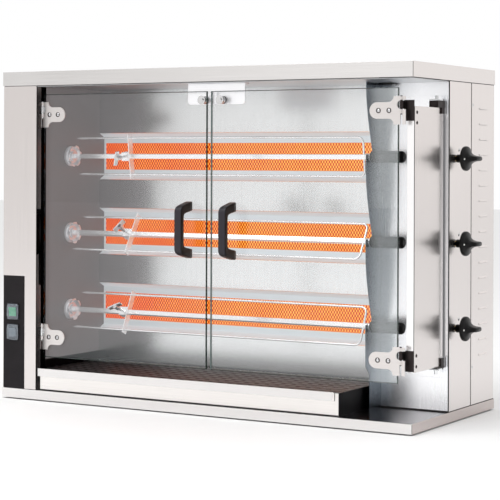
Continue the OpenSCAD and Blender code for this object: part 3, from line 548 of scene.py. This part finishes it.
def shadow_bead(name, points, radius, body="body"):
    """Dark eight-sided bead along a polyline: a painted shadow in a gap, a fold or a corner."""
    path = [Vector(point) for point in points]
    shape = bmesh.new()
    for start, end in zip(path, path[1:]):
        along = (end - start).normalized()
        first = along.orthogonal().normalized()
        second = along.cross(first)
        rings = []
        for place, size in ((start, 0.6), (start + along * radius, 1.0),
                            (end - along * radius, 1.0), (end, 0.6)):
            rings.append([place + (first * u + second * v) * size
                          for u, v in rounded(8, radius, radius)])
        loft(shape, rings)
    piece(name, shape, shadow_black, body)


def cup_washers(side):
    """Countersunk washers round the screws of both hinge plates of a door."""
    low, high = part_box(side + "_hinge_plates")
    boss, from_end = 0.010, 0.030
    if side == "left":
        tip, inwards = low[0] + boss + 0.067, -1
    else:
        tip, inwards = high[0] - boss - 0.0745, 1
    plate_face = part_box(side + "_glass")[0][1] - 0.002
    shape = bmesh.new()
    for z in (low[2] + from_end, high[2] - from_end):
        for from_tip in (0.021, 0.0455):
            x = tip + inwards * from_tip
            loft(shape, [[(x + u / 1000, plate_face - out / 1000, z + v / 1000)
                          for u, v in rounded(28, radius, radius)]
                         for radius, out in ((5.6, 0.1), (5.4, 0.7), (4.9, 1.2), (4.3, 1.0),
                                             (4.1, 0.2))], capped=False)
    piece(side + "_cup_washers", shape, dark_metal, side + "_door")


def tray_front():
    """Bright front panel of the tray under a folded lip with a clipped right end."""
    low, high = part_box("drip_tray")
    lip_depth, lip_overhang, lip_height, clipped = 0.0025, 0.006, 0.018, 0.0112
    front = low[1] + lip_depth
    left, right = low[0] + lip_overhang, high[0]
    panel = bmesh.new()
    bottom, top = low[2] + 0.0026, high[2] - 0.0004
    outline = [(left + 0.0006, bottom), (right - 0.0006, bottom), (right, bottom + 0.0006),
               (right, top - 0.001), (left, top - 0.001), (left, bottom + 0.0006)]
    loft(panel, [[(x, front + y, z) for x, z in outline] for y in (-0.0001, -0.0007)])
    piece("tray_front_panel", panel, lip_steel, "tray", smooth=False)
    lip = bmesh.new()
    foot, brim, end = high[2] - lip_height, high[2] + 0.0003, right - clipped
    outline = [(low[0], foot), (end - 0.0048, foot), (end, brim - 0.0025), (end, brim),
               (low[0], brim)]
    loft(lip, [[(x, front + y, z) for x, z in outline] for y in (-0.0020, -0.0030, -0.0032)])
    piece("tray_lip", lip, outer_x, "tray", smooth=False)
    shadow_bead("tray_foot_shadow", [(left + 0.001, front - 0.0006, low[2] + 0.0016),
                                   (right - 0.001, front - 0.0006, low[2] + 0.0016)],
              0.0013, "tray")


def slotted_grate():
    """Pressed grate: rows of short slots along the tray between raised ribs."""
    low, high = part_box("drip_grate")
    columns, rows, edge, dent, sheet = 30, 7, 0.009, 0.0012, 0.0006
    shape = bmesh.new()
    step_x = (high[0] - low[0] - 2 * edge) / columns
    step_y = (high[1] - low[1] - 2 * edge) / rows
    xs, ys = [low[0]], [low[1]]
    for i in range(columns):
        start = low[0] + edge + i * step_x
        xs += [start + step_x * 0.28, start + step_x * 0.72]
    for j in range(rows):
        start = low[1] + edge + j * step_y
        ys += [start + step_y * 0.12, start + step_y * 0.38, start + step_y * 0.62,
               start + step_y * 0.88]
    xs.append(high[0])
    ys.append(high[1])
    grid = [[shape.verts.new((x, y, high[2] - (dent if j % 4 in (1, 2) else 0.0)))
             for j, y in enumerate(ys)] for x in xs]
    for i in range(len(xs) - 1):
        for j in range(len(ys) - 1):
            if i % 2 == 1 and j % 4 == 1:
                continue
            shape.faces.new((grid[i][j], grid[i + 1][j], grid[i + 1][j + 1], grid[i][j + 1]))
    thing = piece("drip_grate_pressed", shape, grate_metal, "tray", smooth=False)
    solid = thing.modifiers.new("thickness", "SOLIDIFY")
    solid.thickness = sheet
    solid.offset = -1.0
    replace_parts(thing, "drip_grate")


def stop_block():
    """Dark stop block under the ceiling, beside the spit support plate."""
    wall_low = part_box("housing_front_wall")[0]
    half_x, half_z = 0.017, 0.0095
    x, z = wall_low[0] + 0.020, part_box("top_cover")[0][2] + 0.0015
    shape = bmesh.new()
    loft(shape, [[(x + u, wall_low[1] - out, z + v)
                  for u, v in rounded(32, half_x * size, half_z * size, 6.0)]
                 for out, size in ((0.0004, 1.0), (0.018, 1.0), (0.020, 0.97), (0.0212, 0.9))])
    piece("arm_stop_block", shape, knob_black, "body")


def seam_shadows():
    """Painted shadow lines where sheets meet, fold or turn a corner."""
    cover_low, cover_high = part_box("top_cover")
    base_low, base_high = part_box("base_tray")
    column_low, column_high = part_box("left_front_panel")
    front_low, front_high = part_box("housing_front_wall")
    valve_low, valve_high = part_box("side_valve_panel")
    top_z, floor_z, side_x = cover_low[2], base_high[2], valve_high[0]
    back_y = cover_high[1] - 0.002
    valve_edge = valve_high[1] + 0.0002
    column_y = column_low[1] + 0.0003
    column_x = (column_low[0] + 0.002, column_high[0])
    shadow_bead("seam_under_cover_side", [(side_x, valve_low[1], top_z - 0.0006),
                                        (side_x, back_y, top_z - 0.0006)], 0.0009)
    shadow_bead("seam_over_base_side", [(side_x, valve_low[1], floor_z + 0.0006),
                                      (side_x, back_y, floor_z + 0.0006)], 0.0009)
    shadow_bead("seam_between_side_panels", [(side_x - 0.0004, valve_edge, floor_z),
                                           (side_x - 0.0004, valve_edge, top_z)], 0.0012)
    shadow_bead("seam_housing_foot", [(front_low[0], front_low[1] + 0.001, floor_z + 0.0012),
                                    (side_x - 0.001, front_low[1] + 0.001, floor_z + 0.0012)], 0.0019)
    shadow_bead("seam_housing_corner", [(front_high[0] + 0.0012, front_low[1] + 0.002, floor_z),
                                      (front_high[0] + 0.0012, front_low[1] + 0.002, top_z)], 0.0014)
    shadow_bead("seam_under_cover_front", [(x, column_y, top_z - 0.0005) for x in column_x], 0.0008)
    shadow_bead("seam_over_base_front", [(x, column_y, floor_z + 0.0005) for x in column_x], 0.0007)
    shadow_bead("seam_under_cover_housing",
              [(front_low[0], front_low[1] - 0.0004, top_z + 0.003),
               (side_x - 0.001, front_low[1] - 0.0004, top_z + 0.003)], 0.0013)
    arm_low, arm_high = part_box("carrier_arm")
    shadow_bead("seam_arm_fold", [(arm_high[0], arm_low[1], arm_low[2] + 0.001),
                                (arm_high[0], arm_low[1], arm_high[2] - 0.001)], 0.0008, "door_arm")
    for skirt, (low, high) in (("base", (base_low, base_high)), ("cover", (cover_low, cover_high))):
        shadow_bead("seam_corner_" + skirt, [(high[0] + 0.0002, low[1] - 0.0002, low[2] + 0.001),
                                           (high[0] + 0.0002, low[1] - 0.0002, high[2] - 0.001)],
                  0.0006)
    fold_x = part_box("drip_tray")[1][0] + 0.002
    shadow_bead("seam_base_front_fold", [(fold_x, base_low[1] - 0.0001, floor_z),
                                       (base_high[0] - 0.001, base_low[1] - 0.0001, floor_z)],
              0.0005)


meeting_edge()
for door in ("left", "right"):
    bridge_handle(door)
    glass_edge(door)
    cup_washers(door)
tray_front()
slotted_grate()
for row_name in ROWS:
    gas_knob(row_name)
switch_cover("motor_rocker", "motor_switch_cover")
switch_cover("lamp_rocker", "lamp_switch_cover")
stop_block()
seam_shadows()


# ---- Camera, light and floor -------------------------------------------------------------

def camera():
    """Long lens at the front right, held level and shifted down, with a slight roll."""
    yaw, roll = math.radians(30.51), math.radians(0.206)
    data = bpy.data.cameras.new("camera")
    data.lens = 121.9
    data.sensor_width = 36
    data.shift_y = -0.1814
    data.clip_end = 50
    eye = bpy.data.objects.new("camera", data)
    eye.location = (2.0327, -3.4204, 0.5738)
    eye.rotation_mode = "QUATERNION"
    level = Matrix.Rotation(yaw, 4, "Z") @ Matrix.Rotation(math.pi / 2, 4, "X")
    eye.rotation_quaternion = (level @ Matrix.Rotation(roll, 4, "Z")).to_quaternion()
    bpy.context.scene.collection.objects.link(eye)
    bpy.context.scene.camera = eye


def studio():
    """Studio surroundings by compass angle, 0 towards -Y and growing towards -X, in degrees:
    a dark gap to the right of the front, a long bright screen, and a dimmer stretch to the
    left. The camera itself sees plain white."""
    sectors = [(-180, 0.95), (-130, 0.98), (-60, 0.95), (-46, 0.5), (-40, 0.03), (-20, 0.03),
               (-12, 0.6), (-2, 1.0), (20, 1.02), (23, 1.04), (26, 1.04), (28, 1.0),
               (32.2, 0.97), (34.6, 0.72), (38, 0.68), (46, 0.85), (60, 0.95), (180, 0.95)]
    strength, overhead_level = 4.0, 0.9
    world = bpy.data.worlds.new("studio")
    bpy.context.scene.world = world
    world.use_nodes = True
    tree = world.node_tree

    def add(kind, **settings):
        node = tree.nodes.new("ShaderNode" + kind)
        for key, value in settings.items():
            setattr(node, key, value)
        return node

    background = tree.nodes["Background"]
    background.inputs["Strength"].default_value = strength
    split = add("SeparateXYZ")
    tree.links.new(add("TexCoord").outputs["Generated"], split.inputs["Vector"])
    flip = [add("Math", operation="MULTIPLY") for _ in range(2)]
    for node, axis in zip(flip, ("X", "Y")):
        node.inputs[1].default_value = -1.0
        tree.links.new(split.outputs[axis], node.inputs[0])
    angle = add("Math", operation="ARCTAN2")
    tree.links.new(flip[0].outputs[0], angle.inputs[0])
    tree.links.new(flip[1].outputs[0], angle.inputs[1])
    turn = add("MapRange")
    turn.inputs["From Min"].default_value = -math.pi
    turn.inputs["From Max"].default_value = math.pi
    tree.links.new(angle.outputs[0], turn.inputs["Value"])
    ramp = add("ValToRGB")
    stops = ramp.color_ramp.elements
    while len(stops) < len(sectors):
        stops.new(0.5)
    for stop, (degrees, level) in zip(stops, sectors):
        stop.position = (degrees + 180) / 360
        level /= strength
        tint = (0.93, 1.0, 1.06) if level > 0.5 else (1.0, 0.985, 0.975)
        stop.color = tuple(level * t for t in tint) + (1.0,)
    tree.links.new(turn.outputs["Result"], ramp.inputs["Fac"])
    height = add("Math", operation="ABSOLUTE")
    tree.links.new(split.outputs["Z"], height.inputs[0])
    overhead = add("MapRange")
    overhead.inputs["From Min"].default_value = 0.2
    overhead.inputs["From Max"].default_value = 0.5
    tree.links.new(height.outputs[0], overhead.inputs["Value"])
    dome = add("Mix", data_type="RGBA")
    tree.links.new(overhead.outputs["Result"], dome.inputs["Factor"])
    tree.links.new(ramp.outputs["Color"], dome.inputs[6])
    overhead_grey = overhead_level / strength
    dome.inputs[7].default_value = (overhead_grey, overhead_grey, overhead_grey, 1)
    pick = add("Mix", data_type="RGBA")
    tree.links.new(add("LightPath").outputs["Is Camera Ray"], pick.inputs["Factor"])
    tree.links.new(dome.outputs[2], pick.inputs[6])
    white = 1 / strength
    pick.inputs[7].default_value = (white, white, white, 1)
    tree.links.new(pick.outputs[2], background.inputs["Color"])


def lamp(name, place, target, size, power):
    data = bpy.data.lights.new(name, "AREA")
    data.size = size
    data.energy = power
    lamp_object = bpy.data.objects.new(name, data)
    lamp_object.location = place
    aim = Vector(target) - Vector(place)
    lamp_object.rotation_mode = "QUATERNION"
    lamp_object.rotation_quaternion = aim.to_track_quat("-Z", "Y")
    bpy.context.scene.collection.objects.link(lamp_object)


def floor():
    mesh = bpy.data.meshes.new("floor")
    shape = bmesh.new()
    bmesh.ops.create_grid(shape, x_segments=1, y_segments=1, size=15)
    shape.to_mesh(mesh)
    shape.free()
    ground = bpy.data.objects.new("floor", mesh)
    n = Nodes("floor")
    n.set(Base_Color=(0.92, 0.92, 0.92, 1), Roughness=0.9, Specular_IOR_Level=0.2)
    mesh.materials.append(n.material)
    bpy.context.scene.collection.objects.link(ground)


bpy.context.scene.view_settings.view_transform = "Standard"
bpy.context.scene.cycles.use_denoising = True
camera()
studio()
floor()
lamp("key", (-0.5, -1.5, 3.5), (0, 0, 0.4), 2.5, 60)
